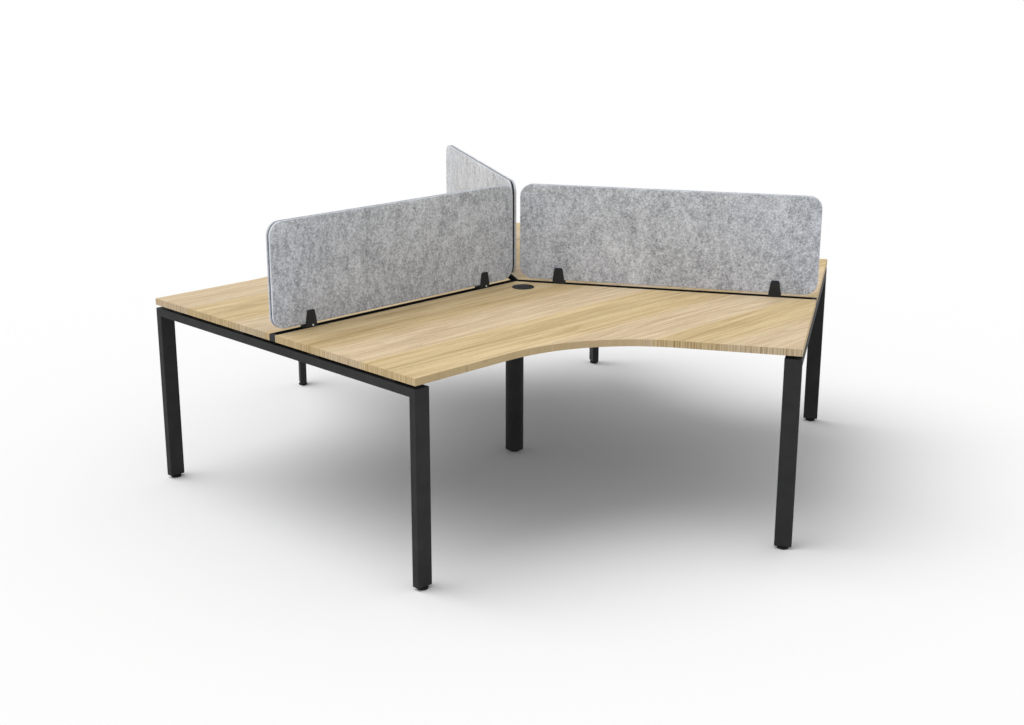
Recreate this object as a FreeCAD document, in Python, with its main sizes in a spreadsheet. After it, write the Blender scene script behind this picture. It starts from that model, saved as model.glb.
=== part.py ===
"""Y-shaped workstation desk: three worktops round a hub, on three end frames and a centre post.

The desk stands on z = 0 with its centre foot on the origin, and +Z is up. Three spines leave the hub
120 degrees apart. In a spine's own frame, +X runs outward along the spine and +Y to the left of it.
A bay is the wedge between two spines and holds one worktop. In a bay's own frame, +X runs outward
along the middle of the bay.
"""
import FreeCAD, Part
import os
import re

import Sketcher

# Driving sizes in millimetres. Each one becomes a named cell of the sheet.
SIZES = {
    # The Y and its worktops
    "worktop_height": 730,
    "board_thickness": 25,
    "spine_length": 1200,
    "half_width": 750,
    "slot_width": 33,
    "bay_radius": 600,
    "band_thickness": 2,
    "band_round": 1,
    # End frames
    "tube_depth": 60,
    "rail_height": 30,
    "leg_width": 30,
    "tube_wall": 2,
    "tube_round": 2,
    "top_gap": 12,
    "leg_clearance": 11,
    # Feet and the plugs that take them
    "insert_height": 20,
    "pad_radius": 20,
    "pad_height": 9.5,
    "pad_chamfer": 2,
    "pad_shoulder": 2.5,
    "neck_radius": 8,
    "stud_radius": 4,
    "stud_clearance": 0.05,
    "stud_spare": 14,
    # Centre post, hub plate and hub bolts
    "post_radius": 37,
    "post_wall": 2,
    "plate_thickness": 6,
    "plate_arm": 150,
    "plate_disc_radius": 60,
    "hub_bolt_radius": 4,
    "hub_bolt_head_radius": 7.5,
    "hub_bolt_head_height": 5,
    "hub_bolt_grip": 12,
    "hub_bolt_inner": 75,
    "hub_bolt_outer": 125,
    # Beams, their brackets and the screws of these
    "beam_width": 60,
    "beam_start": 45,
    "bracket_leg": 40,
    "bracket_thickness": 4,
    "bracket_height": 22,
    "button_radius": 3,
    "button_head_radius": 5.5,
    "button_head_height": 3,
    "button_grip": 8,
    # Battens, spacers and the screws that hold the worktops
    "batten_length": 150,
    "batten_width": 30,
    "spacer_length": 60,
    "spacer_width": 40,
    "wood_radius": 3,
    "wood_head_radius": 6,
    "wood_head_height": 3,
    "wood_bite": 15,
    "access_radius": 8,
    # Channels in the slots, and their end caps
    "channel_wall": 2,
    "cap_thickness": 3,
    "cap_plug": 15,
    # Screens
    "screen_height": 380,
    "screen_lift": 15,
    "screen_start": 24,
    "screen_corner": 50,
    "felt_thickness": 9,
    "felt_round": 2.5,
    "core_thickness": 8,
    "core_inset": 3,
    # Screen clamps and their screws
    "clamp_inset": 160,
    "stem_length": 40,
    "jaw_thickness": 5,
    "jaw_height": 64,
    "jaw_shoulder": 15,
    "jaw_foot_width": 47,
    "jaw_top_width": 31,
    "jaw_corner": 5,
    "jaw_round": 0.8,
    "cross_offset": 4,
    "cross_height": 8.5,
    "cross_radius": 2,
    "cross_cover": 1.5,
    "cross_head_radius": 3.5,
    "cross_head_height": 2.5,
    "base_radius": 2,
    "base_head_radius": 4.5,
    "base_head_height": 2.5,
    "base_grip": 15,
    # Cable grommets
    "grommet_distance": 126,
    "flange_radius": 44,
    "flange_height": 2,
    "flange_chamfer": 1,
    "sleeve_radius": 40,
    "sleeve_depth": 20,
    "bore_radius": 37,
    "ledge_radius": 34,
    "ledge_height": 2,
    "lid_thickness": 3,
    "lid_gap": 0.3,
    "lid_seat_gap": 0.3,
    "notch_width": 20,
    "notch_depth": 12,
    # Clearance of a screw in a plain hole, and the overrun of every tool that cuts through
    "hole_clearance": 0.3,
    "overrun": 10,
}

# Sizes that follow from the driving ones.
DERIVED = {
    "slot_half": "slot_width / 2",
    "board_under": "worktop_height - board_thickness",
    "rail_top": "board_under - top_gap",
    "rail_under": "rail_top - rail_height",
    "rail_middle": "rail_top - rail_height / 2",
    "rail_shelf": "rail_under + tube_wall",
    "rail_ceiling": "rail_top - tube_wall",
    "rail_start": "spine_length - tube_depth",
    "leg_middle": "spine_length - tube_depth / 2",
    "leg_inner": "half_width - leg_width",
    "leg_axis": "half_width - leg_width / 2",
    "insert_top": "leg_clearance + insert_height",
    "stud_top": "insert_top + stud_spare",
    "plate_under": "rail_under - plate_thickness",
    "beam_half": "beam_width / 2",
    "bracket_top": "rail_middle + bracket_height / 2",
    "bracket_bottom": "rail_middle - bracket_height / 2",
    "bracket_reach": "(bracket_leg + bracket_thickness) / 2",
    "batten_side": "(batten_length / 2 + beam_half) / 2",
    "channel_floor": "board_under + channel_wall",
    "channel_inner": "slot_half - channel_wall",
    "cap_start": "spine_length - cap_thickness",
    "screen_under": "worktop_height + screen_lift",
    "screen_top": "screen_under + screen_height",
    "core_half": "core_thickness / 2",
    "screen_half": "core_half + felt_thickness",
    "jaw_face": "screen_half + jaw_thickness",
    "jaw_top": "worktop_height + jaw_height",
    "jaw_waist": "worktop_height + jaw_shoulder",
    "cross_level": "worktop_height + cross_height",
    "ring_top": "worktop_height + flange_height",
    "lid_under": "ring_top - lid_thickness",
    "lid_radius": "bore_radius - lid_gap",
    "ledge_top": "lid_under - lid_seat_gap",
    "ledge_under": "ledge_top - ledge_height",
}

# Direction of each spine in degrees, and the names of its +Y and -Y sides.
SPINES = {
    "left": (210, ("front", "rear")),
    "right": (330, ("rear", "front")),
    "back": (90, ("left", "right")),
}
# Direction of the middle of each bay in degrees. A bay ends at a spine on each side of its middle.
BAYS = {"front": 270, "right": 30, "left": 150}
HALF_BAY = "60deg"

# Places of the battens along a beam and of the spacers along half a rail.
BATTEN_SHARES = (0.1, 0.5, 0.8)
SPACER_SHARES = (0.3, 0.85)
# A screw's socket, of its head's height and radius.
SOCKET_SHARES = (0.6, 0.5)

# Where screws enter the worktops, and where clamps stand, in a spine's frame.
BATTEN_PLACES = [f"rail_start * {share}" for share in BATTEN_SHARES]
SPACER_PLACES = [f"leg_inner * {share}" for share in SPACER_SHARES]
SCREW_PLACES = [(place, "batten_side") for place in BATTEN_PLACES]
SCREW_PLACES += [("leg_middle", place) for place in SPACER_PLACES]
CLAMP_PLACES = ["screen_start + clamp_inset", "spine_length - clamp_inset"]
HUB_BOLT_PLACES = ["hub_bolt_inner", "hub_bolt_outer"]

doc = FreeCAD.newDocument("workstation_desk")
sheet = doc.addObject("Spreadsheet::Sheet", "Sizes")
for row, (alias, size) in enumerate(SIZES.items(), start=1):
    sheet.set(f"A{row}", alias)
    sheet.set(f"B{row}", str(size))
    sheet.setAlias(f"B{row}", alias)
doc.recompute()

AXES = {"X": FreeCAD.Vector(1, 0, 0), "Y": FreeCAD.Vector(0, 1, 0), "Z": FreeCAD.Vector(0, 0, 1)}
PIECES = []


def full(text):
    """Write an expression of size names so that it reads from the sheet."""

    def spell(match):
        name = match.group(0)
        if name in DERIVED:
            return f"({full(DERIVED[name])})"
        return f"Sizes.{name}" if name in SIZES else name

    return re.sub(r"[A-Za-z_]+", spell, text)


def number(text):
    return float(sheet.evalExpression(full(text)))


def bind(obj, prop, text):
    obj.setExpression(prop, full(text))


def locate(obj, place):
    for axis, text in zip("xyz", place):
        bind(obj, f"Placement.Base.{axis}", text)
    return obj


def box(name, along, across, up):
    """Box between a low and a high place along X, Y and Z."""
    obj = doc.addObject("Part::Box", name)
    for prop, (low, high) in zip(("Length", "Width", "Height"), (along, across, up)):
        bind(obj, prop, f"{high} - ({low})")
    return locate(obj, (along[0], across[0], up[0]))


def lay(obj, axis, place, low):
    """Point a cylinder or prism along an axis, with its start a step from a place."""
    obj.Placement = FreeCAD.Placement(FreeCAD.Vector(), FreeCAD.Rotation(AXES["Z"], AXES[axis]))
    start = [f"{text} + ({low})" if letter == axis else text for letter, text in zip("XYZ", place)]
    return locate(obj, start)


def rod(name, axis, place, low, high, radius):
    """Cylinder along an axis, between two steps from a place."""
    obj = doc.addObject("Part::Cylinder", name)
    bind(obj, "Radius", radius)
    bind(obj, "Height", f"{high} - ({low})")
    return lay(obj, axis, place, low)


def hexagon(name, axis, place, low, high, radius):
    """Six-sided prism along an axis, between two steps from a place."""
    obj = doc.addObject("Part::Prism", name)
    obj.Polygon = 6
    bind(obj, "Circumradius", radius)
    bind(obj, "Height", f"{high} - ({low})")
    return lay(obj, axis, place, low)


def group(name, members):
    obj = doc.addObject("Part::Compound", name)
    obj.Links = list(members)
    return obj


def fuse(name, members):
    obj = doc.addObject("Part::MultiFuse", name)
    obj.Shapes = list(members)
    return obj


def cut(name, base, *tools):
    obj = doc.addObject("Part::Cut", name)
    obj.Base = base
    obj.Tool = tools[0] if len(tools) == 1 else group(f"{name}_tools", tools)
    return obj


def screw(name, axis, sign, seat, kind, length):
    """Socket screw: its shank runs from the seat along the axis, and its head stands behind."""
    height = f"{kind}_head_height"
    depth, width = SOCKET_SHARES
    spans = (("0", length), (f"-{height}", "0"), (f"-{height}", f"-{height} * {1 - depth}"))
    if sign < 0:
        spans = [(f"-({high})", f"-({low})") for low, high in spans]
    shank = rod(f"{name}_shank", axis, seat, *spans[0], f"{kind}_radius")
    head = rod(f"{name}_head", axis, seat, *spans[1], f"{kind}_head_radius")
    socket = hexagon(f"{name}_socket", axis, seat, *spans[2], f"{kind}_head_radius * {width}")
    return cut(name, fuse(f"{name}_blank", [shank, head]), socket)


def turn(obj, degrees):
    """Turn a piece about the desk's upright axis."""
    obj.Placement = FreeCAD.Placement(FreeCAD.Vector(), FreeCAD.Rotation(AXES["Z"], degrees))
    return obj


def turned_point(degrees, along, across):
    """Desk place of a point given in the frame of a spine or a bay."""
    cos, sin = f"cos({degrees}deg)", f"sin({degrees}deg)"
    return f"({along}) * {cos} - ({across}) * {sin}", f"({along}) * {sin} + ({across}) * {cos}"


def piece(label, obj):
    """Name a finished sub-part and keep it for writing."""
    obj.Label = label
    PIECES.append(obj)
    return obj


def fix(sketch, kind, text, *where):
    mark = sketch.addConstraint(Sketcher.Constraint(kind, *where, number(text)))
    bind(sketch, f"Constraints[{mark}]", text)


def arc(start, end, radius, side):
    """Arc from start to end, with its centre to the left (side 1) or right (side -1) of the way."""
    chord = end - start
    left = FreeCAD.Vector(-chord.y, chord.x, 0).normalize() * side
    reach = (number(radius) ** 2 - (chord.Length / 2) ** 2) ** 0.5
    crown = (start + end) / 2 + left * (reach - number(radius))
    return Part.Arc(start, crown, end)


def trace(sketch, outline):
    """Draw a closed outline: corners of (x, y), with (radius, side) added where an arc leaves one."""
    points = [FreeCAD.Vector(number(corner[0]), number(corner[1]), 0) for corner in outline]
    first = sketch.GeometryCount
    for corner, start, end in zip(outline, points, points[1:] + points[:1]):
        bend = corner[2:]
        sketch.addGeometry(arc(start, end, *bend) if bend else Part.LineSegment(start, end), False)
    marks = []
    for index, point in enumerate(points, start=first):
        gaps = [sketch.getPoint(index, mark).distanceToPoint(point) for mark in (1, 2)]
        marks.append(1 if gaps[0] < gaps[1] else 2)
    for index, corner in enumerate(outline):
        here = first + index
        following = (index + 1) % len(outline)
        joined = (here, 3 - marks[index], first + following, marks[following])
        sketch.addConstraint(Sketcher.Constraint("Coincident", *joined))
        fix(sketch, "DistanceX", corner[0], -1, 1, here, marks[index])
        fix(sketch, "DistanceY", corner[1], -1, 1, here, marks[index])
        if corner[2:]:
            fix(sketch, "Radius", corner[2], here)


def draw(body, plane, offset, outlines):
    sketch = body.newObject("Sketcher::SketchObject", f"{body.Name}_sketch")
    origin = {item.Role: item for item in body.Origin.OriginFeatures}
    sketch.AttachmentSupport = [(origin[f"{plane}_Plane"], "")]
    sketch.MapMode = "FlatFace"
    bind(sketch, "AttachmentOffset.Base.z", offset)
    for outline in outlines:
        trace(sketch, outline)
    return sketch


def pad(name, plane, low, high, *outlines):
    """Body of closed outlines on a plane, filled between a low and a high place across it."""
    body = doc.addObject("PartDesign::Body", name)
    offset = f"-({high})" if plane == "XZ" else low
    feature = body.newObject("PartDesign::Pad", f"{name}_pad")
    feature.Profile = draw(body, plane, offset, outlines)
    bind(feature, "Length", f"{high} - ({low})")
    body.Tip = feature
    return body


def revolve(name, outline):
    """Body of one outline of (radius, height) corners, turned about the upright axis."""
    body = doc.addObject("PartDesign::Body", name)
    sketch = draw(body, "XZ", "0", [outline])
    feature = body.newObject("PartDesign::Revolution", f"{name}_turn")
    feature.Profile = sketch
    feature.ReferenceAxis = (sketch, ["V_Axis"])
    feature.Angle = 360
    body.Tip = feature
    return body


def round_edges(body, radius, run="", level=()):
    """Fillet the edges that run along an axis, or lie at a level of an axis, or do both."""
    doc.recompute()
    base, names = body.Tip, []
    for index, edge in enumerate(body.Shape.Edges, start=1):
        middle = edge.valueAt((edge.FirstParameter + edge.LastParameter) / 2)
        points = [vertex.Point for vertex in edge.Vertexes] + [middle]
        gaps = [abs(getattr(points[0] - middle, letter)) for letter in "xyz" if run and letter != run]
        for axis, text in level:
            gaps += [abs(getattr(point, axis) - number(text)) for point in points]
        if max(gaps) < Part.Precision.confusion():
            names.append(f"Edge{index}")
    feature = body.newObject("PartDesign::Fillet", f"{body.Name}_round")
    feature.Base = (base, names)
    bind(feature, "Radius", radius)
    body.Tip = feature
    return body


def bay_point(along, across):
    """Place in a bay's frame of a point beside the spine that ends the bay on its +Y side."""
    cos, sin = f"cos({HALF_BAY})", f"sin({HALF_BAY})"
    return f"({along}) * {cos} + ({across}) * {sin}", f"({along}) * {sin} - ({across}) * {cos}"


def board_outline(inset):
    """Outline of a worktop in its bay's frame, drawn in from its finished edge by an inset."""
    side, end = f"(slot_half + {inset})", f"(spine_length - {inset})"
    wing, touch = f"(half_width - {inset})", f"(half_width + bay_radius) / tan({HALF_BAY})"
    corners = [bay_point(end, side), bay_point(end, wing), bay_point(touch, wing)]
    mirrored = [(x, f"-({y})") for x, y in reversed(corners)]
    corners[-1] += (f"bay_radius + {inset}", 1)
    return [(f"{side} / sin({HALF_BAY})", "0")] + corners + mirrored


def channel_outline(half):
    """Outline of a slot channel from the hub, where three channels meet in a mitre."""
    mitre = f"{half} / tan({HALF_BAY})"
    return [("0", "0"), (mitre, f"-{half}"), ("cap_start", f"-{half}"), ("cap_start", half), (mitre, half)]


def panel_outline(inset):
    """Outline of a screen with rounded corners, drawn in from its edge by an inset."""
    near, far = f"screen_start + {inset}", f"spine_length - {inset}"
    bottom, top = f"screen_under + {inset}", f"screen_top - {inset}"
    near_bend, far_bend = "screen_start + screen_corner", "spine_length - screen_corner"
    low_bend, high_bend = "screen_under + screen_corner", "screen_top - screen_corner"
    bend = (f"screen_corner - {inset}", 1)
    return [
        (near_bend, bottom),
        (far_bend, bottom) + bend,
        (far, low_bend),
        (far, high_bend) + bend,
        (far_bend, top),
        (near_bend, top) + bend,
        (near, high_bend),
        (near, low_bend) + bend,
    ]


def signed(sign, text):
    return text if sign > 0 else f"-({text})"


def across(sign, low, high):
    """Span on a spine's +Y side, or with sign -1 the same span on its -Y side."""
    return (low, high) if sign > 0 else (f"-({high})", f"-({low})")


# Both sides of a spine or bay, each with a letter for its objects' names.
BOTH = ((1, "a"), (-1, "b"))

# Worktops: a core and the band round its edge, with holes for the grommet and the screws.
for bay, degrees in BAYS.items():
    name = f"worktop_{bay}"
    grommet = ("grommet_distance", "0", "board_under")
    holes = [rod(f"{name}_hole", "Z", grommet, "-overrun", "board_thickness + overrun", "sleeve_radius")]
    for index, place in enumerate(SCREW_PLACES):
        x, y = bay_point(*place)
        for sign, letter in BOTH:
            seat = (x, signed(sign, y), "board_under")
            pilot = f"{name}_pilot_{index}{letter}"
            holes.append(rod(pilot, "Z", seat, "-overrun", "wood_bite", "wood_radius"))
    core_outline = board_outline("band_thickness")
    core = pad(f"{name}_core", "XY", "board_under", "worktop_height", core_outline)
    piece(name, turn(cut(f"{name}_drilled", core, *holes), degrees))
    whole = pad(f"{name}_whole", "XY", "board_under", "worktop_height", board_outline("0"))
    round_edges(whole, "band_round", level=[("z", "worktop_height")])
    round_edges(whole, "band_round", level=[("z", "board_under")])
    piece(f"edge_band_{bay}", turn(cut(f"{name}_band", whole, core), degrees))

# End frames: a rail under the worktop ends, mitred into a leg at each end.
INSIDE = ("rail_start + tube_wall", "spine_length - tube_wall")
for spine, (degrees, names) in SPINES.items():
    name = f"end_rail_{spine}"
    outline = [
        ("-half_width", "rail_top"),
        ("-leg_inner", "rail_under"),
        ("leg_inner", "rail_under"),
        ("half_width", "rail_top"),
    ]
    tube = pad(f"{name}_tube", "YZ", "rail_start", "spine_length", outline)
    round_edges(tube, "tube_round", run="y")
    holes = [box(f"{name}_bore", INSIDE, ("-half_width", "half_width"), ("rail_shelf", "rail_ceiling"))]
    for sign, letter in BOTH:
        for index, place in enumerate(SPACER_PLACES):
            seat = ("leg_middle", signed(sign, place), "rail_middle")
            up, down = f"{name}_screw_{index}{letter}", f"{name}_access_{index}{letter}"
            holes.append(rod(up, "Z", seat, "0", "rail_height", "wood_radius + hole_clearance"))
            holes.append(rod(down, "Z", seat, "-rail_height", "0", "access_radius"))
        seat = ("rail_start", signed(sign, "beam_half + bracket_reach"), "rail_middle")
        tapped = f"{name}_tapped_{letter}"
        holes.append(rod(tapped, "X", seat, "-overrun", "tube_depth / 2", "button_radius"))
    piece(name, turn(cut(f"{name}_drilled", tube, *holes), degrees))

    for (sign, letter), place in zip(BOTH, names):
        name = f"leg_{spine}_{place}"
        outline = [
            (signed(sign, "half_width"), "leg_clearance"),
            (signed(sign, "half_width"), "rail_top"),
            (signed(sign, "leg_inner"), "rail_under"),
            (signed(sign, "leg_inner"), "leg_clearance"),
        ]
        tube = pad(f"{name}_tube", "YZ", "rail_start", "spine_length", outline)
        round_edges(tube, "tube_round", run="z")
        walls = across(sign, "leg_inner + tube_wall", "half_width - tube_wall")
        bore = box(f"{name}_bore", INSIDE, walls, ("leg_clearance - overrun", "rail_top + overrun"))
        piece(name, turn(cut(f"{name}_open", tube, bore), degrees))

# Centre post and the plug in its foot, and the hub plate on its top.
CENTRE = ("0", "0", "leg_clearance")
post = rod("post_outside", "Z", CENTRE, "0", "plate_under - leg_clearance", "post_radius")
post_bore = rod("post_bore", "Z", CENTRE, "-overrun", "plate_under", "post_radius - post_wall")
piece("centre_leg", cut("post", post, post_bore))
plug = rod("post_plug", "Z", CENTRE, "0", "insert_height", "post_radius - post_wall")
plug_bore = rod("post_plug_bore", "Z", CENTRE, "-overrun", "insert_height + overrun",
                "stud_radius + stud_clearance")
piece("centre_insert", cut("post_plug_drilled", plug, plug_bore))

arms = [rod("hub_disc", "Z", ("0", "0", "plate_under"), "0", "plate_thickness", "plate_disc_radius")]
holes = []
for spine, (degrees, _) in SPINES.items():
    arm = box(f"hub_arm_{spine}", ("0", "plate_arm"), ("-beam_half", "beam_half"),
              ("plate_under", "rail_under"))
    arms.append(turn(group(f"hub_arm_{spine}_turned", [arm]), degrees))
    for index, place in enumerate(HUB_BOLT_PLACES):
        seat = turned_point(degrees, place, "0") + ("plate_under",)
        holes.append(rod(f"hub_hole_{spine}_{index}", "Z", seat, "-overrun", "plate_thickness + overrun",
                         "hub_bolt_radius + hole_clearance"))
piece("hub_plate", cut("hub_plate_drilled", fuse("hub_plate_blank", arms), *holes))

# Pieces that repeat along each spine gather here under their node's name, and turn with the spine.
REPEATS = {}


def repeat(label, spine, members):
    REPEATS.setdefault(label, [])
    REPEATS[label].append(turn(group(f"{label}_{spine}_set", members), SPINES[spine][0]))


for spine, (degrees, names) in SPINES.items():
    # Beam from the hub plate to the rail, held there by two angle brackets
    name = f"beam_{spine}"
    beam_span, beam_sides = ("beam_start", "rail_start"), ("-beam_half", "beam_half")
    tube = box(f"{name}_tube", beam_span, beam_sides, ("rail_under", "rail_top"))
    wide = ("-beam_half + tube_wall", "beam_half - tube_wall")
    holes = [box(f"{name}_bore", ("0", "spine_length"), wide, ("rail_shelf", "rail_ceiling"))]
    bolts, brackets, buttons = [], [], []
    for index, place in enumerate(HUB_BOLT_PLACES):
        seat = (place, "0", "plate_under")
        holes.append(rod(f"{name}_tapped_{index}", "Z", seat, "0", "rail_height / 2", "hub_bolt_radius"))
        shank = rod(f"hub_bolt_{spine}_{index}_shank", "Z", seat, "0", "hub_bolt_grip", "hub_bolt_radius")
        head = hexagon(f"hub_bolt_{spine}_{index}_head", "Z", seat, "-hub_bolt_head_height", "0",
                       "hub_bolt_head_radius")
        bolts.append(fuse(f"hub_bolt_{spine}_{index}", [shank, head]))
    for sign, letter in BOTH:
        tag = f"bracket_{spine}_{letter}"
        seat_side = signed(sign, "beam_half + bracket_thickness")
        seat = ("rail_start - bracket_reach", seat_side, "rail_middle")
        far_side = signed(sign, "beam_half + bracket_reach")
        far_seat = ("rail_start - bracket_thickness", far_side, "rail_middle")
        inward = across(-sign, "0", "beam_half")
        holes.append(rod(f"{name}_tapped_{letter}", "Y", seat, *inward, "button_radius"))
        height = ("bracket_bottom", "bracket_top")
        by_beam = box(f"{tag}_by_beam", ("rail_start - bracket_leg", "rail_start"),
                      across(sign, "beam_half", "beam_half + bracket_thickness"), height)
        by_rail = box(f"{tag}_by_rail", ("rail_start - bracket_thickness", "rail_start"),
                      across(sign, "beam_half", "beam_half + bracket_leg"), height)
        reach, plain = ("-overrun", "overrun"), "button_radius + hole_clearance"
        hole = rod(f"{tag}_hole", "Y", seat, *reach, plain)
        far_hole = rod(f"{tag}_far_hole", "X", far_seat, *reach, plain)
        brackets.append(cut(tag, fuse(f"{tag}_blank", [by_beam, by_rail]), hole, far_hole))
        buttons.append(screw(f"{tag}_screw", "Y", -sign, seat, "button", "button_grip"))
        buttons.append(screw(f"{tag}_far_screw", "X", 1, far_seat, "button", "button_grip"))
    piece(name, turn(cut(f"{name}_drilled", tube, *holes), degrees))
    repeat("hub_bolts", spine, bolts)
    repeat("beam_angles", spine, brackets)
    repeat("bracket_screws", spine, buttons)

    # Battens over the beam, spacers over the rail, and the screws up into the worktops
    battens, spacers, screws = [], [], []
    gap, plain = ("rail_top", "board_under"), "wood_radius + hole_clearance"
    for index, place in enumerate(BATTEN_PLACES):
        tag = f"batten_{spine}_{index}"
        along = (f"{place} - batten_width / 2", f"{place} + batten_width / 2")
        strip = box(f"{tag}_strip", along, ("-batten_length / 2", "batten_length / 2"), gap)
        holes = []
        for sign, letter in BOTH:
            seat = (place, signed(sign, "batten_side"), "rail_top")
            holes.append(rod(f"{tag}_hole_{letter}", "Z", seat, "-overrun", "top_gap + overrun", plain))
            screws.append(screw(f"{tag}_screw_{letter}", "Z", 1, seat, "wood", "top_gap + wood_bite"))
        battens.append(cut(tag, strip, *holes))
    for index, place in enumerate(SPACER_PLACES):
        for sign, letter in BOTH:
            tag = f"spacer_{spine}_{index}{letter}"
            side = signed(sign, place)
            along = ("leg_middle - spacer_width / 2", "leg_middle + spacer_width / 2")
            sideways = (f"{side} - spacer_length / 2", f"{side} + spacer_length / 2")
            block = box(f"{tag}_block", along, sideways, gap)
            seat = ("leg_middle", side, "rail_ceiling")
            hole = rod(f"{tag}_hole", "Z", seat, "0", "rail_height", plain)
            spacers.append(cut(tag, block, hole))
            screws.append(screw(f"{tag}_screw", "Z", 1, seat, "wood", "tube_wall + top_gap + wood_bite"))
    repeat("cross_battens", spine, battens)
    repeat("rail_spacers", spine, spacers)
    repeat("worktop_screws", spine, screws)

    # Plugs in the ends of the legs, each with a bore for the stud of a foot
    plugs = []
    for sign, letter in BOTH:
        walls = across(sign, "leg_inner + tube_wall", "half_width - tube_wall")
        block = box(f"leg_plug_{spine}_{letter}_block", INSIDE, walls, ("leg_clearance", "insert_top"))
        seat = ("leg_middle", signed(sign, "leg_axis"), "leg_clearance")
        bore = rod(f"leg_plug_{spine}_{letter}_bore", "Z", seat, "-overrun", "insert_height + overrun",
                   "stud_radius + stud_clearance")
        plugs.append(cut(f"leg_plug_{spine}_{letter}", block, bore))
    repeat("leg_inserts", spine, plugs)

    # Channel between the worktops along the slot, with a cap in its outer end
    name = f"slot_channel_{spine}"
    outside = pad(f"{name}_outside", "XY", "board_under", "worktop_height", channel_outline("slot_half"))
    inside = pad(f"{name}_inside", "XY", "channel_floor", "worktop_height + overrun",
                 channel_outline("channel_inner"))
    holes = [inside]
    for index, place in enumerate(CLAMP_PLACES):
        holes.append(rod(f"{name}_hole_{index}", "Z", (place, "0", "board_under"), "-overrun",
                         "base_grip", "base_radius + hole_clearance"))
    piece(name, turn(cut(f"{name}_open", outside, *holes), degrees))
    plate = box(f"cap_plate_{spine}", ("cap_start", "spine_length"), ("-slot_half", "slot_half"),
                ("board_under", "worktop_height"))
    tongue = box(f"cap_tongue_{spine}", ("cap_start - cap_plug", "cap_start"),
                 ("-channel_inner", "channel_inner"), ("channel_floor", "worktop_height - cap_thickness"))
    repeat("channel_end_caps", spine, [fuse(f"cap_{spine}", [plate, tongue])])

    # Clamps: a base in the channel, a jaw on each side of it, a cross screw and a screw from below
    bases, jaws, cross_screws, base_screws = [], [], [], []
    for index, place in enumerate(CLAMP_PLACES):
        tag = f"clamp_{spine}_{index}"
        stem = box(f"{tag}_stem", (f"{place} - stem_length / 2", f"{place} + stem_length / 2"),
                   ("-channel_inner", "channel_inner"), ("channel_floor", "worktop_height"))
        seat_block = box(f"{tag}_block", (f"{place} - jaw_foot_width / 2", f"{place} + jaw_foot_width / 2"),
                         ("-screen_half", "screen_half"), ("worktop_height", "screen_under"))
        cross = (f"{place} - cross_offset", "jaw_face", "cross_level")
        low = (place, "0", "board_under")
        holes = [rod(f"{tag}_cross", "Y", cross, "-2 * jaw_face", "0", "cross_radius + hole_clearance")]
        holes.append(rod(f"{tag}_blind", "Z", low, "0", "base_grip", "base_radius"))
        bases.append(cut(tag, fuse(f"{tag}_blank", [stem, seat_block]), *holes))
        reach = "2 * jaw_face - cross_cover"
        cross_screws.append(screw(f"{tag}_cross_screw", "Y", -1, cross, "cross", reach))
        base_screws.append(screw(f"{tag}_base_screw", "Z", 1, low, "base", "base_grip"))
        outline = [
            (f"{place} - jaw_foot_width / 2", "worktop_height"),
            (f"{place} + jaw_foot_width / 2", "worktop_height"),
            (f"{place} + jaw_foot_width / 2", "jaw_waist"),
            (f"{place} + jaw_top_width / 2", "jaw_top"),
            (f"{place} - jaw_top_width / 2", "jaw_top"),
            (f"{place} - jaw_foot_width / 2", "jaw_waist"),
        ]
        # The screw passes through the jaw on the +Y side and ends inside the other one
        depths = ("-2 * jaw_face - overrun", f"-({reach})")
        radii = ("cross_radius + hole_clearance", "cross_radius")
        for (sign, letter), depth, hole_radius in zip(BOTH, depths, radii):
            body = pad(f"{tag}_jaw_{letter}", "XZ", *across(sign, "screen_half", "jaw_face"), outline)
            round_edges(body, "jaw_corner", run="y", level=[("z", "jaw_top")])
            round_edges(body, "jaw_round", level=[("y", signed(sign, "jaw_face"))])
            hole = rod(f"{tag}_jaw_{letter}_hole", "Y", cross, depth, "overrun", hole_radius)
            jaws.append(cut(f"{tag}_jaw_{letter}_drilled", body, hole))
    repeat("clamp_bases", spine, bases)
    repeat("clamp_screws", spine, cross_screws)
    repeat("base_screws", spine, base_screws)
    piece(f"clamp_jaws_{spine}", turn(group(f"clamp_jaws_{spine}_set", jaws), degrees))

    # Screen: two felt faces on a core
    for sign, letter in BOTH:
        name = f"screen_{spine}_face_{letter}"
        felt = pad(f"{name}_felt", "XZ", *across(sign, "core_half", "screen_half"), panel_outline("0"))
        round_edges(felt, "felt_round", level=[("y", signed(sign, "screen_half"))])
        piece(name, turn(felt, degrees))
    core = pad(f"screen_{spine}_board", "XZ", "-core_half", "core_half", panel_outline("core_inset"))
    piece(f"screen_{spine}_core", turn(core, degrees))

for label, members in REPEATS.items():
    piece(label, group(f"{label}_all", members))

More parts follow.
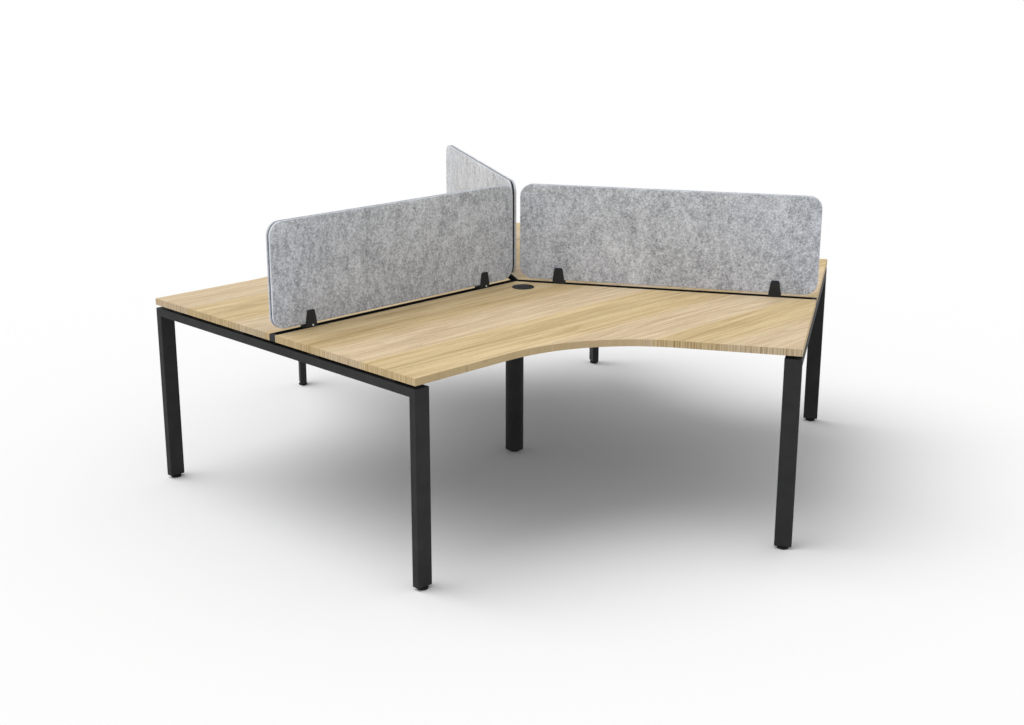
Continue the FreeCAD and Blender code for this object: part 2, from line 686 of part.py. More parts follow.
# Cable grommets: a ring in each worktop, and a lid with a notch that turns in it.
for bay, degrees in BAYS.items():
    ring = revolve(f"grommet_ring_{bay}_body", [
        ("bore_radius", "worktop_height - sleeve_depth"),
        ("sleeve_radius", "worktop_height - sleeve_depth"),
        ("sleeve_radius", "worktop_height"),
        ("flange_radius", "worktop_height"),
        ("flange_radius", "ring_top - flange_chamfer"),
        ("flange_radius - flange_chamfer", "ring_top"),
        ("bore_radius", "ring_top"),
        ("bore_radius", "ledge_top"),
        ("ledge_radius", "ledge_top"),
        ("ledge_radius", "ledge_under"),
        ("bore_radius", "ledge_under"),
    ])
    centre = turned_point(degrees, "grommet_distance", "0")
    piece(f"grommet_ring_{bay}", locate(ring, centre + ("0",)))
    under = ("grommet_distance", "0", "lid_under")
    disc = rod(f"lid_{bay}_disc", "Z", under, "0", "lid_thickness", "lid_radius")
    along = ("grommet_distance - notch_width / 2", "grommet_distance + notch_width / 2")
    deep = ("lid_radius - notch_depth", "bore_radius")
    notch = box(f"lid_{bay}_notch", along, deep, ("ledge_under", "ring_top + overrun"))
    piece(f"grommet_lid_{bay}", turn(cut(f"lid_{bay}", disc, notch), degrees))

# Feet: a pad with a stud that screws into the plug above it.
FOOT_PLACES = {"centre": ("0", "0")}
for spine, (degrees, names) in SPINES.items():
    for (sign, _), place in zip(BOTH, names):
        FOOT_PLACES[f"{spine}_{place}"] = turned_point(degrees, "leg_middle", signed(sign, "leg_axis"))
for name, place in FOOT_PLACES.items():
    foot = revolve(f"foot_{name}_body", [
        ("0", "0"),
        ("pad_radius - pad_chamfer", "0"),
        ("pad_radius", "pad_chamfer"),
        ("pad_radius", "pad_height - pad_shoulder"),
        ("neck_radius", "pad_height"),
        ("stud_radius", "pad_height"),
        ("stud_radius", "stud_top"),
        ("0", "stud_top"),
    ])
    piece(f"foot_{name}", locate(foot, place + ("0",)))

doc.recompute()
for obj in doc.Objects:
    if "Invalid" in obj.State or "Error" in obj.State:
        raise RuntimeError(f"{obj.Label} has state {obj.State}")
    if hasattr(obj, "Shape") and (obj.Shape.isNull() or not obj.Shape.isValid()):
        raise RuntimeError(f"{obj.Label} has no valid shape")

os.makedirs("parts", exist_ok=True)
for obj in PIECES:
    obj.Shape.exportStep(f"parts/{obj.Label}.step")
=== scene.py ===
"""Looks of the Y-shaped workstation desk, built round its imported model. Lengths are in metres.

Every CAD node keeps its shape and gets a finish of shader nodes. The six felt faces of the screens
are modelled here as pressed felt with soft edges and a faint relief.
"""
import math

import bpy
import bmesh
from mathutils import Matrix, Vector, noise


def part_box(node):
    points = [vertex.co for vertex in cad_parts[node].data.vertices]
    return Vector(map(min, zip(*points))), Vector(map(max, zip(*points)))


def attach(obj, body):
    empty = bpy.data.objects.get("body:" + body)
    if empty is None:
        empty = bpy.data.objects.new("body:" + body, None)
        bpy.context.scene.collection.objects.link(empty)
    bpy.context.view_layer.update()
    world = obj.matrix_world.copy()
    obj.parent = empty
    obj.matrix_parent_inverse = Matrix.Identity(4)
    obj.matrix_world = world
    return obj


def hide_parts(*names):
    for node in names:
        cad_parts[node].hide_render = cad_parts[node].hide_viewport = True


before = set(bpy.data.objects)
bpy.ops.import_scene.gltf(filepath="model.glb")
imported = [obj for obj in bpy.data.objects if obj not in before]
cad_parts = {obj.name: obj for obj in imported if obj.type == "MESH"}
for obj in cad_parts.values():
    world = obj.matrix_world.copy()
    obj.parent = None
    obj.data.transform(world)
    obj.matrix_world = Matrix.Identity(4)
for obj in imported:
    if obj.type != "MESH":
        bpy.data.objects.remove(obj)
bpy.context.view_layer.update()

# Camera, fitted to the photograph's edges. Turns are in radians.
IMAGE_WIDTH = 1024
FOCAL_PIXELS = 1447.7
SENSOR = 36
CLIP_END = 200
CAMERA_PLACE = (-1.5048, -5.5172, 2.0454)
CAMERA_YAW = -0.2644
CAMERA_PITCH = 0.2829
CAMERA_ROLL = 0.0019

# Light: a wide soft lamp from the left and behind, and a pale room. Angles are in degrees.
LAMP_HEADING = (-0.966, 0.26)
LAMP_ELEVATION = 62
LAMP_SPREAD = 60
LAMP_POWER = 1.56
ROOM_STRENGTH = 0.56
BACKDROP_STRENGTH = 1
FLOOR_SIZE = 120
FLOOR_SEEN = 1.0
FLOOR_ALBEDO = 0.8

# Directions of the spines from the hub, in degrees.
SPINE_ANGLES = {"left": 210, "right": 330, "back": 90}

# Where most of a noise's values lie.
NOISE_SPAN = (0.3, 0.7)

# Grain of the worktops: one direction for all of them, along the left spine.
GRAIN_TURN = math.radians(SPINE_ANGLES["left"] - 180)
GRAIN = (math.cos(GRAIN_TURN), math.sin(GRAIN_TURN), 0)
ACROSS = (-GRAIN[1], GRAIN[0], 0)
UP = (0, 0, 1)
# Planks take turns, pink and yellow. Where they meet across the grain, and how pale each one is
# from its seam on. The paleness is partly the planks' own tone and partly painted shade: the plank
# from -0.27, along the front of the left screen, is darker for that screen's shade.
PLANKS = ((-1.17, 0.94), (-0.965, 1.02), (-0.752, 0.98), (-0.478, 1.05), (-0.27, 0.92),
          (0.055, 0.96), (0.245, 0.93), (0.545, 1.0), (0.76, 0.95), (1.04, 1.02), (1.25, 0.96))
# A seam is crisp where a pink plank starts, and soft where it ends.
SEAM_WIDTHS = (0.11, 0.022)
# Broad darker streaks: middle, reach to each side and depth.
STREAKS = ((-0.6, 0.08, 0.08), (-0.4, 0.06, 0.04), (0.1, 0.09, 0.09), (0.42, 0.08, 0.09),
           (0.575, 0.04, 0.08))
# How far the grain wanders across itself, and its repeats for each metre along and across.
DRIFT = 0.022
DRIFT_ALONG, DRIFT_ACROSS = 1.1, 5
# Step of the noise's seed from one plank to the next.
SEED_STEP = 2.7
# Layers of the figure that change from plank to plank, and layers that run through. Each has its
# repeats for each metre along, across and up, its detail and its roughness.
RINGS = ((0.7, 6.5, 3), 1.5, 0.4)
DARK_STREAKS = ((3.2, 105, 3), 4, 0.62)
LINES = ((1.9, 36, 3), 3, 0.6)
FIBRES = ((16, 560, 3), 3, 0.6)
BROAD = ((0.9, 11, 3), 2, 0.5)
FLECKS = ((70, 260, 3), 3, 0.65)
PORES = ((34, 1300, 3), 2, 0.5)
# How many rings the noise is cut into, and which part of a ring darkens.
RING_COUNT = 13
RING_RANGE = (0.25, 1)
# Which part of the noise makes a dark streak, and how dark; which part makes a pore.
STREAK_RANGE = (0.34, 0.74)
STREAK_DEPTH = 0.75
PORE_RANGE = (0.60, 0.74)
PORE_DEPTH = 0.45
# Height of the fibres in the bump, where a pore is 1 deep.
FIBRE_HEIGHT = 0.4
# Weights of the layers in the figure's darkness, and what is taken off it in the end. The lines
# have one weight in yellow planks and another in pink ones.
LINE_WEIGHTS = (1.5, 0.75)
RING_WEIGHT, FIBRE_WEIGHT, FLECK_WEIGHT, BROAD_WEIGHT = 0.2, 0.8, 0.7, 1.0
FIGURE_LIFT = 0.08
# Where a band counts as an end band, by how squarely it faces along the grain.
END_FACING = (0.72, 0.78)
# Upright lines on an end band: repeats for each metre across, along and up, detail and roughness.
STROKES = ((240, 110, 4), 2, 0.5)
STROKE_GROUPS = ((24, 24, 1), 2, 0.5)
# Where a group of them starts in the groups' noise, and their weights outside and inside a group.
GROUP_RANGE = (0.38, 0.6)
GROUP_WEIGHTS = (2.2, 4.6)
# Even part of these lines: radians for each metre across, how far the groups bend it, and weight.
COMB = 2 * math.pi / 0.0085
COMB_BEND = 25
COMB_WEIGHT = 0.11
# Range that is left to the figure's darkness on a band along the grain, and on an end band, and
# the share of the pink tone that a band along the grain keeps.
CALM_FIGURE = (0.3, 0.55)
CROSSED_FIGURE = (0.15, 0.7)
CALM_TONE = 0.3
# Colours of the yellow and the pink planks: ground and figure.
OAK_PALE = ((232, 208, 162), (230, 209, 176))
OAK_DEEP = ((184, 155, 106), (182, 156, 120))
PORE_BROWN = (150, 118, 78)
# Grey backing sheet under the boards: its colour, its thickness and how softly it ends. Its grey
# is partly painted shade, which keeps the gap between the boards and the rails dark.
BACKING_SHADE_GREY = (112, 112, 114)
BACKING = 0.0001
BACKING_BLEND = 0.0002
BACKING_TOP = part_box("worktop_front")[0].z + BACKING

# Powder coat and plastic: how far their clouds go down and up from the colour, how pale their
# specks are, and how many pebbles of the skin there are to each speck.
CLOUD_SHARES = (0.78, 1.3)
SPECK_SHARE = 1.8
SKIN_SHARE = 0.45

# Finely brushed zinc: repeats for each metre, and its colours.
BRUSHING = (900, 900, 6000)
ZINC = ((232, 238, 248), (246, 250, 255))

# Foot and top of the screens.
FELT_HEIGHTS = tuple(corner.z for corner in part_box("screen_left_face_a"))
# Felt colours at the foot and at the top, and on the pressed rim. The cooler foot is painted light,
# against the warm light that the wood throws up onto the felt.
FELT_PALE = ((234, 241, 255), (238, 245, 255))
FELT_DEEP = ((128, 134, 148), (133, 138, 147))
# Rim colour: partly the pressed edge's own paleness, partly a painted highlight.
FELT_RIM_HIGHLIGHT = (250, 251, 252)
# Felt's layers run faster through the thickness, and the last two stand a little upright. Each
# has its repeats for each metre, detail, roughness and warp, and then come their weights.
FELT_SQUEEZE = (1, 6, 1)
UPRIGHT = (1, 1, 0.6)
MOTTLE = (135, 3, 0.7, 0.4)
FLUFF = (330, 3, 0.75, 0.5)
BLOTCHES = (48, 3, 0.6, 0.3)
CLOUDS = (11, 3, 0.6)
FELT_WEIGHTS = (2.0, 1.6, 1.0, 0.7)
THREAD_WEIGHT = 0.22
# How much paler the rim is: partly a painted highlight along the felt's edges.
RIM_HIGHLIGHT_WEIGHT = 0.2
# Height of the threads in the bump, where the fluff is 1 high.
THREAD_HEIGHT = 0.5
# Where the rim's painted highlight goes over into the face, by how squarely the surface faces the
# front.
RIM_HIGHLIGHT_FACING = (0.1, 0.6)
# Directions of the fibres in degrees, their repeats for each metre along and across, how far they
# bend, how far apart the three lie in the noise, and which part of it makes a thread.
FIBRE_ANGLES = (8, 68, 128)
FIBRE_ALONG, FIBRE_ACROSS = 55, 900
FIBRE_BEND = 0.016
FIBRE_APART = 5.3
THREAD_RANGE = (0.52, 0.72)

# Felt face of a screen, in the spine's frame: x outward, y to the left, z up.
FELT_STEP = 0.004
FELT_CORNER = 0.05
FELT_EDGE = 0.0025
EDGE_STEPS = 4
RELIEF = 0.00035
# Lumps of the relief: repeats for each metre, place in the noise on each side, and height.
LUMPS = ((95, 7, 1), (210, 3, 0.6))


def srgb(red, green, blue):
    """Linear colour of a colour named in 0 to 255."""
    def linear(value):
        share = value / 255
        return share / 12.92 if share <= 0.04045 else ((share + 0.055) / 1.055) ** 2.4
    return (linear(red), linear(green), linear(blue), 1)


def tint(colour, share):
    """A linear colour made darker or paler."""
    return [value * share for value in colour[:3]] + [1]


class Finish:
    """Shader nodes of one material, or of the world."""

    def __init__(self, owner):
        self.owner = owner
        owner.use_nodes = True
        self.tree = owner.node_tree
        self.tree.nodes.clear()

    def node(self, kind, feeds=(), **settings):
        made = self.tree.nodes.new(kind)
        for key, value in settings.items():
            setattr(made, key, value)
        for key, value in dict(feeds).items():
            socket = made.inputs[key]
            if isinstance(value, bpy.types.NodeSocket):
                self.tree.links.new(value, socket)
            else:
                socket.default_value = value
        return made

    def place(self):
        return self.node("ShaderNodeTexCoord").outputs["Object"]

    def facing(self, axis):
        """How squarely the surface faces along an axis of the object, 0 to 1."""
        return self.maths("ABSOLUTE", self.dot(self.node("ShaderNodeTexCoord").outputs["Normal"], axis))

    def maths(self, operation, first, second=0.5, third=0.5, clamp=False):
        feeds = {0: first, 1: second, 2: third}
        return self.node("ShaderNodeMath", feeds, operation=operation, use_clamp=clamp).outputs[0]

    def dot(self, vector, axis):
        made = self.node("ShaderNodeVectorMath", {0: vector, 1: axis}, operation="DOT_PRODUCT")
        return made.outputs["Value"]

    def stretch(self, vector, scale):
        made = self.node("ShaderNodeVectorMath", {0: vector, 1: scale}, operation="MULTIPLY")
        return made.outputs["Vector"]

    def join(self, x, y, z):
        return self.node("ShaderNodeCombineXYZ", {0: x, 1: y, 2: z}).outputs[0]

    def noise(self, vector, scale=1.0, detail=2.0, rough=0.5, warp=0.0, seed=None):
        feeds = {"Vector": vector, "Scale": scale, "Detail": detail, "Roughness": rough,
                 "Distortion": warp}
        if seed is not None:
            feeds["W"] = seed
        dimensions = "3D" if seed is None else "4D"
        return self.node("ShaderNodeTexNoise", feeds, noise_dimensions=dimensions).outputs[0]

    def layer(self, vector, parts, seed=None):
        """Noise with repeats of its own in each direction."""
        repeats, detail, rough = parts
        return self.noise(self.stretch(vector, repeats), 1, detail, rough, seed=seed)

    def add_layer(self, total, layer, weight):
        """Add a noise, counted from its middle, to a running total."""
        return self.maths("MULTIPLY_ADD", self.maths("SUBTRACT", layer, 0.5), weight, total)

    def spread(self, value, low, high, new_low=0.0, new_high=1.0, smooth=False):
        kind = "SMOOTHSTEP" if smooth else "LINEAR"
        feeds = {"Value": value, "From Min": low, "From Max": high,
                 "To Min": new_low, "To Max": new_high}
        return self.node("ShaderNodeMapRange", feeds, interpolation_type=kind, clamp=True).outputs[0]

    def mix(self, share, first, second, blend="MIX"):
        feeds = {0: share, 6: first, 7: second}
        return self.node("ShaderNodeMix", feeds, data_type="RGBA", blend_type=blend).outputs[2]

    def bump(self, height, strength, distance):
        feeds = {"Height": height, "Strength": strength, "Distance": distance}
        return self.node("ShaderNodeBump", feeds).outputs[0]

    def shade(self, **feeds):
        names = {key.replace("_", " ").title().replace("Ior", "IOR"): value
                 for key, value in feeds.items()}
        shader = self.node("ShaderNodeBsdfPrincipled", names)
        self.node("ShaderNodeOutputMaterial", {"Surface": shader.outputs[0]})
        return self.owner


def finish(name):
    return Finish(bpy.data.materials.new(name))


def add_object(name, data):
    made = bpy.data.objects.new(name, data)
    bpy.context.scene.collection.objects.link(made)
    return made


def lay_planks(f, across):
    """Tone of the planks, 0 yellow and 1 pink, with their count and their paleness, partly painted
    shade.
    """
    tone, count, pale_and_shade_level, last = 1.0, 0.0, 1.0, 1.0
    for turn, (seam, shade) in enumerate(PLANKS):
        width = SEAM_WIDTHS[turn % 2]
        step = f.spread(across, seam - width / 2, seam + width / 2, smooth=True)
        tone = f.maths("MULTIPLY_ADD", step, 1 if turn % 2 else -1, tone)
        count = f.maths("ADD", step, count)
        pale_and_shade_level = f.maths("MULTIPLY_ADD", step, shade - last, pale_and_shade_level)
        last = shade
    for middle, reach, depth in STREAKS:
        off = f.maths("ABSOLUTE", f.maths("SUBTRACT", across, middle))
        streak = f.spread(off, 0, reach, depth, 0, smooth=True)
        pale_and_shade_level = f.maths("SUBTRACT", pale_and_shade_level, streak)
    return tone, count, pale_and_shade_level


def draw_figure(f, grain, seed, fibres, tone):
    """How dark the oak's figure is: cathedral rings, lines, streaks, fibres and flecks."""
    rings = f.maths("FRACT", f.maths("MULTIPLY", f.layer(grain, RINGS, seed), RING_COUNT))
    rings = f.spread(rings, *RING_RANGE, smooth=True)
    dark = f.spread(f.layer(grain, DARK_STREAKS, seed), *STREAK_RANGE, 0, STREAK_DEPTH)
    dark = f.add_layer(dark, f.layer(grain, LINES, seed), f.spread(tone, 0, 1, *LINE_WEIGHTS))
    dark = f.maths("MULTIPLY_ADD", rings, RING_WEIGHT, dark)
    dark = f.add_layer(dark, fibres, FIBRE_WEIGHT)
    dark = f.add_layer(dark, f.layer(grain, FLECKS), FLECK_WEIGHT)
    dark = f.add_layer(dark, f.layer(grain, BROAD, seed), BROAD_WEIGHT)
    return f.maths("SUBTRACT", dark, FIGURE_LIFT, clamp=True)


def draw_end_lines(f, section, across, dark, tone):
    """Figure and tone of an edge band: calm along the grain, and fine upright lines across it."""
    ends = f.spread(f.facing(GRAIN), *END_FACING, smooth=True)
    groups = f.layer(section, STROKE_GROUPS)
    comb = f.maths("MULTIPLY_ADD", groups, COMB_BEND, f.maths("MULTIPLY", across, COMB))
    strokes = f.maths("SUBTRACT", f.layer(section, STROKES), 0.5)
    strokes = f.maths("MULTIPLY_ADD", f.maths("SINE", comb), COMB_WEIGHT, strokes)
    strokes = f.maths("MULTIPLY", strokes, f.spread(groups, *GROUP_RANGE, *GROUP_WEIGHTS))
    calm = f.spread(dark, 0, 1, *CALM_FIGURE)
    crossed = f.maths("ADD", f.spread(dark, 0, 1, *CROSSED_FIGURE), strokes)
    dark = f.maths("MULTIPLY_ADD", ends, f.maths("SUBTRACT", crossed, calm), calm, clamp=True)
    return dark, f.maths("MULTIPLY", tone, f.spread(ends, 0, 1, CALM_TONE, 1))


def wood(name, level, edge=False):
    """Oak laminate: planks of two tones, cathedral figure, fibres and open pores, all along the grain.

    On an edge that cuts across the grain, the planks end in fine upright lines. The level darkens
    the whole piece: it is painted shade on the edge bands.
    """
    f = finish(name)
    place = f.place()
    along, across, up = (f.dot(place, axis) for axis in (GRAIN, ACROSS, UP))
    wander = f.join(f.maths("MULTIPLY", along, DRIFT_ALONG),
                    f.maths("MULTIPLY", across, DRIFT_ACROSS), up)
    across = f.maths("MULTIPLY_ADD", f.noise(wander, scale=1, detail=3), DRIFT, across)
    tone, count, pale_and_shade_level = lay_planks(f, across)
    seed = f.maths("MULTIPLY", count, SEED_STEP)
    grain = f.join(along, across, up)
    fibres = f.layer(grain, FIBRES, seed)
    pores = f.spread(f.layer(grain, PORES), *PORE_RANGE)
    dark = draw_figure(f, grain, seed, fibres, tone)
    if edge:
        dark, tone = draw_end_lines(f, f.join(across, along, up), across, dark, tone)
    pale, deep = (f.mix(tone, srgb(*yellow), srgb(*pink)) for yellow, pink in (OAK_PALE, OAK_DEEP))
    colour = f.mix(dark, pale, deep)
    colour = f.mix(f.maths("MULTIPLY", pores, PORE_DEPTH), colour, srgb(*PORE_BROWN))
    # Level: 1 on the tops, lower on the edge bands as painted shade of their upright faces.
    shade = f.maths("MULTIPLY", pale_and_shade_level, level)
    colour = f.mix(1.0, colour, f.join(shade, shade, shade), "MULTIPLY")
    # Painted shade in part: the underside turns grey, which darkens the gap over the rails.
    above = f.spread(up, BACKING_TOP, BACKING_TOP + BACKING_BLEND)
    colour = f.mix(above, srgb(*BACKING_SHADE_GREY), colour)
    rough = f.spread(fibres, *NOISE_SPAN, new_low=0.5, new_high=0.62)
    relief = f.maths("MULTIPLY_ADD", pores, -1, f.maths("MULTIPLY", fibres, FIBRE_HEIGHT))
    normal = f.bump(relief, strength=0.25, distance=0.0002)
    return f.shade(base_color=colour, roughness=rough, normal=normal, specular_ior_level=0.14)


def coat(name, base, rough=0.62, grit=1500.0, depth=0.00005, specular=0.28):
    """Powder coat or moulded plastic: fine pebbled skin with faint clouds in colour and gloss."""
    f = finish(name)
    place, base = f.place(), srgb(*base)
    clouds = f.noise(place, scale=9, detail=4, rough=0.6)
    specks = f.noise(place, scale=grit, detail=2, rough=0.6)
    skin = f.noise(place, scale=grit * SKIN_SHARE, detail=3, rough=0.65)
    sheen = f.noise(place, scale=23, detail=5, rough=0.7)
    low, high = (tint(base, share) for share in CLOUD_SHARES)
    colour = f.mix(f.spread(clouds, *NOISE_SPAN), low, high)
    specks = f.spread(specks, low=0.55, high=0.8, new_high=0.35)
    colour = f.mix(specks, colour, tint(base, SPECK_SHARE))
    gloss = f.spread(sheen, *NOISE_SPAN, new_low=rough - 0.05, new_high=rough + 0.07)
    normal = f.bump(skin, strength=0.35, distance=depth)
    return f.shade(base_color=colour, roughness=gloss, normal=normal, specular_ior_level=specular)


def lay_fibres(f, place):
    """Threads of the felt in three directions, slightly bent."""
    fibres = 0.0
    for turn, degrees in enumerate(FIBRE_ANGLES):
        angle = math.radians(degrees)
        run = f.dot(place, (math.cos(angle), 0, math.sin(angle)))
        side = f.dot(place, (-math.sin(angle), 0, math.cos(angle)))
        bent = f.noise(place, scale=30, detail=1)
        side = f.maths("MULTIPLY_ADD", bent, FIBRE_BEND, side)
        run, side = f.maths("MULTIPLY", run, FIBRE_ALONG), f.maths("MULTIPLY", side, FIBRE_ACROSS)
        threads = f.noise(f.join(run, side, turn * FIBRE_APART), scale=1, detail=2, rough=0.6)
        fibres = f.maths("MAXIMUM", fibres, f.spread(threads, *THREAD_RANGE))
    return fibres


def felt(name):
    """Pressed felt: pale and dark fibres in every direction, in soft clouds that are a little upright.

    The pressed rim is paler than the face, partly as a painted highlight, and the face is painted
    a little cooler towards its foot, against the warm light that the wood throws up.
    """
    f = finish(name)
    # Height on the face, which fades the painted cool tint of its foot.
    height = f.spread(f.dot(f.place(), UP), *FELT_HEIGHTS)
    # Rim mask: where the surface turns away from the front, for the painted highlight of the rim.
    rim = f.spread(f.facing((0, 1, 0)), *RIM_HIGHLIGHT_FACING, 1, 0, smooth=True)
    place = f.stretch(f.place(), FELT_SQUEEZE)
    upright = f.stretch(place, UPRIGHT)
    fibres = lay_fibres(f, place)
    mottle, fluff = f.noise(place, *MOTTLE), f.noise(place, *FLUFF)
    blotches, clouds = f.noise(upright, *BLOTCHES), f.noise(upright, *CLOUDS)
    value = 0.5
    for layer, weight in zip((mottle, fluff, blotches, clouds), FELT_WEIGHTS):
        value = f.add_layer(value, layer, weight)
    value = f.maths("MULTIPLY_ADD", fibres, THREAD_WEIGHT, value, clamp=True)
    # Painted highlight on the rim, partly the pressed edge's own paleness.
    value = f.maths("MULTIPLY_ADD", rim, RIM_HIGHLIGHT_WEIGHT, value, clamp=True)
    # Painted light: the foot's colours are cooler, against the warm light that the wood throws up.
    pale, deep = (f.mix(height, srgb(*foot), srgb(*top)) for foot, top in (FELT_PALE, FELT_DEEP))
    colour = f.mix(value, deep, f.mix(rim, pale, srgb(*FELT_RIM_HIGHLIGHT)))
    relief = f.maths("MULTIPLY_ADD", fibres, THREAD_HEIGHT, fluff)
    normal = f.bump(relief, strength=0.6, distance=0.0006)
    return f.shade(base_color=colour, roughness=0.95, normal=normal, specular_ior_level=0.15,
                   sheen_weight=0.5, sheen_roughness=0.5)


def steel(name):
    """Zinc-plated steel, finely brushed."""
    f = finish(name)
    place = f.place()
    brushed = f.noise(f.stretch(place, BRUSHING), scale=1, detail=3, rough=0.6)
    stain = f.noise(place, scale=160, detail=4, rough=0.6)
    colour = f.mix(stain, *(srgb(*shade) for shade in ZINC))
    gloss = f.spread(brushed, *NOISE_SPAN, new_low=0.4, new_high=0.6)
    normal = f.bump(brushed, strength=0.2, distance=0.00002)
    return f.shade(base_color=colour, roughness=gloss, normal=normal, metallic=1.0)


FINISHES = {
    "worktop_wood": wood("oak_top", 1.0),
    # Edge bands: the same oak at a level of 0.885, a darker copy that is painted shade.
    "edge_wood": wood("oak_edge_shaded", 0.885, edge=True),
    "frame_black": coat("powder_black", (40, 40, 41)),
    # The slot channel is darker than the other black parts: its own black and, in part, painted shade
    # of the deep slot.
    "channel_black": coat("channel_black", (16, 17, 21)),
    "cap_black": coat("cap_black", (46, 47, 50), grit=1900),
    "grommet_black": coat("grommet_black", (38, 40, 44), rough=0.7, grit=2100, specular=0.2),
    "foot_black": coat("foot_black", (26, 26, 28), grit=1900),
    "plug_black": coat("plug_black", (28, 28, 30), grit=1900),
    "core_dark": coat("core_dark", (52, 53, 55), rough=0.8, grit=1100, depth=0.0001, specular=0.15),
    "clamp_black": coat("clamp_black", (38, 40, 43), grit=1100),
    "felt_grey": felt("felt_grey"),
    "screw_steel": steel("zinc_steel"),
}


def dress():
    """Give every CAD node the finish of its slot."""
    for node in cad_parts.values():
        for slot in node.material_slots:
            slot.material = FINISHES[slot.material.name.split(".")[0]]


def square_to_corner(x, z, width, height, corner):
    """Move a point of a rectangle so that the rectangle's corners turn round."""
    u = max(corner - x, x - (width - corner), 0) / corner
    w = max(corner - z, z - (height - corner), 0) / corner
    if u == 0 or w == 0:
        return x, z
    bent_u, bent_w = u * math.sqrt(1 - w * w / 2), w * math.sqrt(1 - u * u / 2)
    x = corner * (1 - bent_u) if x < width / 2 else width - corner * (1 - bent_u)
    z = corner * (1 - bent_w) if z < height / 2 else height - corner * (1 - bent_w)
    return x, z


def felt_front(low, high, outer, sign):
    """Even grid of points over the front of a felt face, with its squares and the points of its rim."""
    width, height = high.x - low.x - 2 * FELT_EDGE, high.z - low.z - 2 * FELT_EDGE
    columns, rows = round(width / FELT_STEP), round(height / FELT_STEP)
    points, faces = [], []
    start = Vector((low.x + FELT_EDGE, 0, low.z + FELT_EDGE))
    for row in range(rows + 1):
        for column in range(columns + 1):
            x, z = square_to_corner(width * column / columns, height * row / rows, width, height,
                                    FELT_CORNER - FELT_EDGE)
            x, z = x + start.x, z + start.z
            lumps = sum(share * noise.noise((x * repeats, sign * apart, z * repeats))
                        for repeats, apart, share in LUMPS)
            points.append(Vector((x, outer - sign * RELIEF * (0.5 - 0.5 * lumps), z)))
    stride = columns + 1
    for row in range(rows):
        for column in range(columns):
            first = row * stride + column
            faces.append((first, first + 1, first + stride + 1, first + stride))
    rim = list(range(columns))
    rim += [columns + row * stride for row in range(rows)]
    rim += [rows * stride + column for column in range(columns, 0, -1)]
    rim += [row * stride for row in range(rows, 0, -1)]
    return points, faces, rim


def away_from_middle(point, low, high):
    """Direction straight out of the rim at one of its points."""
    centre = Vector((min(max(point.x, low.x + FELT_CORNER), high.x - FELT_CORNER), 0,
                     min(max(point.z, low.z + FELT_CORNER), high.z - FELT_CORNER)))
    return (Vector((point.x, 0, point.z)) - centre).normalized()


def felt_panel(name, low, high):
    """Felt face: an even grid in front, bent over a soft edge to a flat back."""
    sign = 1 if low.y + high.y > 0 else -1
    inner, outer = (low.y, high.y) if sign > 0 else (high.y, low.y)
    points, faces, rim = felt_front(low, high, outer, sign)
    outward = [away_from_middle(points[index], low, high) for index in rim]
    last = rim
    for step in range(1, EDGE_STEPS + 2):
        angle = math.radians(90 * min(step, EDGE_STEPS) / EDGE_STEPS)
        reach, sunk = FELT_EDGE * math.sin(angle), FELT_EDGE * (1 - math.cos(angle))
        ring = []
        for index, away in zip(rim, outward):
            point = points[index] + away * reach
            point.y = inner if step > EDGE_STEPS else point.y - sign * sunk
            ring.append(len(points))
            points.append(point)
        count = len(rim)
        for turn in range(count):
            faces.append((last[turn], ring[turn], ring[(turn + 1) % count], last[(turn + 1) % count]))
        last = ring
    faces.append(tuple(last))
    mesh = bpy.data.meshes.new(name)
    mesh.from_pydata(points, [], faces)
    work = bmesh.new()
    work.from_mesh(mesh)
    bmesh.ops.recalc_face_normals(work, faces=work.faces)
    work.to_mesh(mesh)
    work.free()
    for polygon in mesh.polygons:
        polygon.use_smooth = True
    mesh.materials.append(FINISHES["felt_grey"])
    return mesh


def panel_box(name, spine):
    """Lowest and highest corner of a CAD node in its spine's frame."""
    back = Matrix.Rotation(-math.radians(SPINE_ANGLES[spine]), 3, "Z")
    corners = [back @ vertex.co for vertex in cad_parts[name].data.vertices]
    return tuple(Vector([limit(corner[axis] for corner in corners) for axis in range(3)])
                 for limit in (min, max))


def make_screens():
    for spine, degrees in SPINE_ANGLES.items():
        for face in "ab":
            node = f"screen_{spine}_face_{face}"
            mesh = felt_panel(node, *panel_box(node, spine))
            panel = add_object(f"felt_{spine}_{face}", mesh)
            panel.matrix_world = Matrix.Rotation(math.radians(degrees), 4, "Z")
            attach(panel, "desk")
            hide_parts(node)


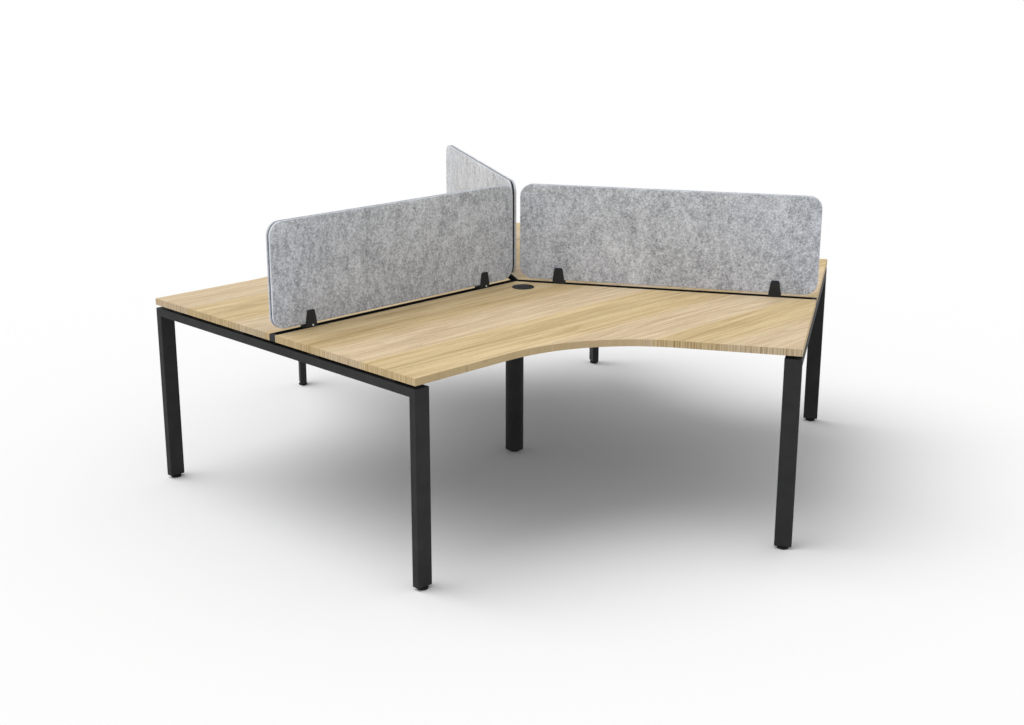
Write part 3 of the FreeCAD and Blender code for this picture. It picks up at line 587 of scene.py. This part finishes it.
def make_floor():
    """White floor in the camera's eyes, and a pale one for the light that it sends back."""
    f = finish("studio_floor")
    path = f.node("ShaderNodeLightPath")
    seen, other = (f.node("ShaderNodeBsdfDiffuse", {"Color": (level, level, level, 1)})
                   for level in (FLOOR_SEEN, FLOOR_ALBEDO))
    feeds = {0: path.outputs["Is Camera Ray"], 1: other.outputs[0], 2: seen.outputs[0]}
    both = f.node("ShaderNodeMixShader", feeds)
    f.node("ShaderNodeOutputMaterial", {"Surface": both.outputs[0]})
    half = FLOOR_SIZE / 2
    corners = [(-half, -half, 0), (half, -half, 0), (half, half, 0), (-half, half, 0)]
    mesh = bpy.data.meshes.new("studio_floor")
    mesh.from_pydata(corners, [], [(0, 1, 2, 3)])
    mesh.materials.append(f.owner)
    floor = add_object("studio_floor", mesh)


def make_lamp():
    lamp = bpy.data.lights.new("soft_lamp", "SUN")
    lamp.energy = LAMP_POWER
    lamp.angle = math.radians(LAMP_SPREAD)
    holder = add_object("soft_lamp", lamp)
    elevation = math.radians(LAMP_ELEVATION)
    level_x, level_y = (part * math.cos(elevation) for part in LAMP_HEADING)
    towards = Vector((level_x, level_y, math.sin(elevation)))
    holder.rotation_mode = "QUATERNION"
    holder.rotation_quaternion = towards.to_track_quat("Z", "Y")


def make_room():
    """Pale room, white where the camera, a mirror or glass looks at it."""
    world = bpy.data.worlds.new("pale_room")
    bpy.context.scene.world = world
    f = Finish(world)
    path = f.node("ShaderNodeLightPath").outputs
    seen = f.maths("MAXIMUM", path["Is Camera Ray"], path["Is Glossy Ray"])
    seen = f.maths("MAXIMUM", seen, path["Is Transmission Ray"])
    strength = f.spread(seen, 0, 1, ROOM_STRENGTH, BACKDROP_STRENGTH)
    room = f.node("ShaderNodeBackground", {"Color": (1, 1, 1, 1), "Strength": strength})
    f.node("ShaderNodeOutputWorld", {"Surface": room.outputs[0]})


def make_camera():
    data = bpy.data.cameras.new("camera")
    data.sensor_fit = "HORIZONTAL"
    data.sensor_width = SENSOR
    data.lens = FOCAL_PIXELS * SENSOR / IMAGE_WIDTH
    data.clip_end = CLIP_END
    camera = add_object("camera", data)
    pitch = math.pi / 2 - CAMERA_PITCH
    turned = Matrix.Rotation(CAMERA_YAW, 4, "Z") @ Matrix.Rotation(pitch, 4, "X")
    turned = Matrix.Translation(CAMERA_PLACE) @ turned @ Matrix.Rotation(CAMERA_ROLL, 4, "Z")
    camera.matrix_world = turned
    bpy.context.scene.camera = camera


bpy.context.scene.view_settings.view_transform = "Standard"
dress()
make_screens()
make_floor()
make_lamp()
make_room()
make_camera()
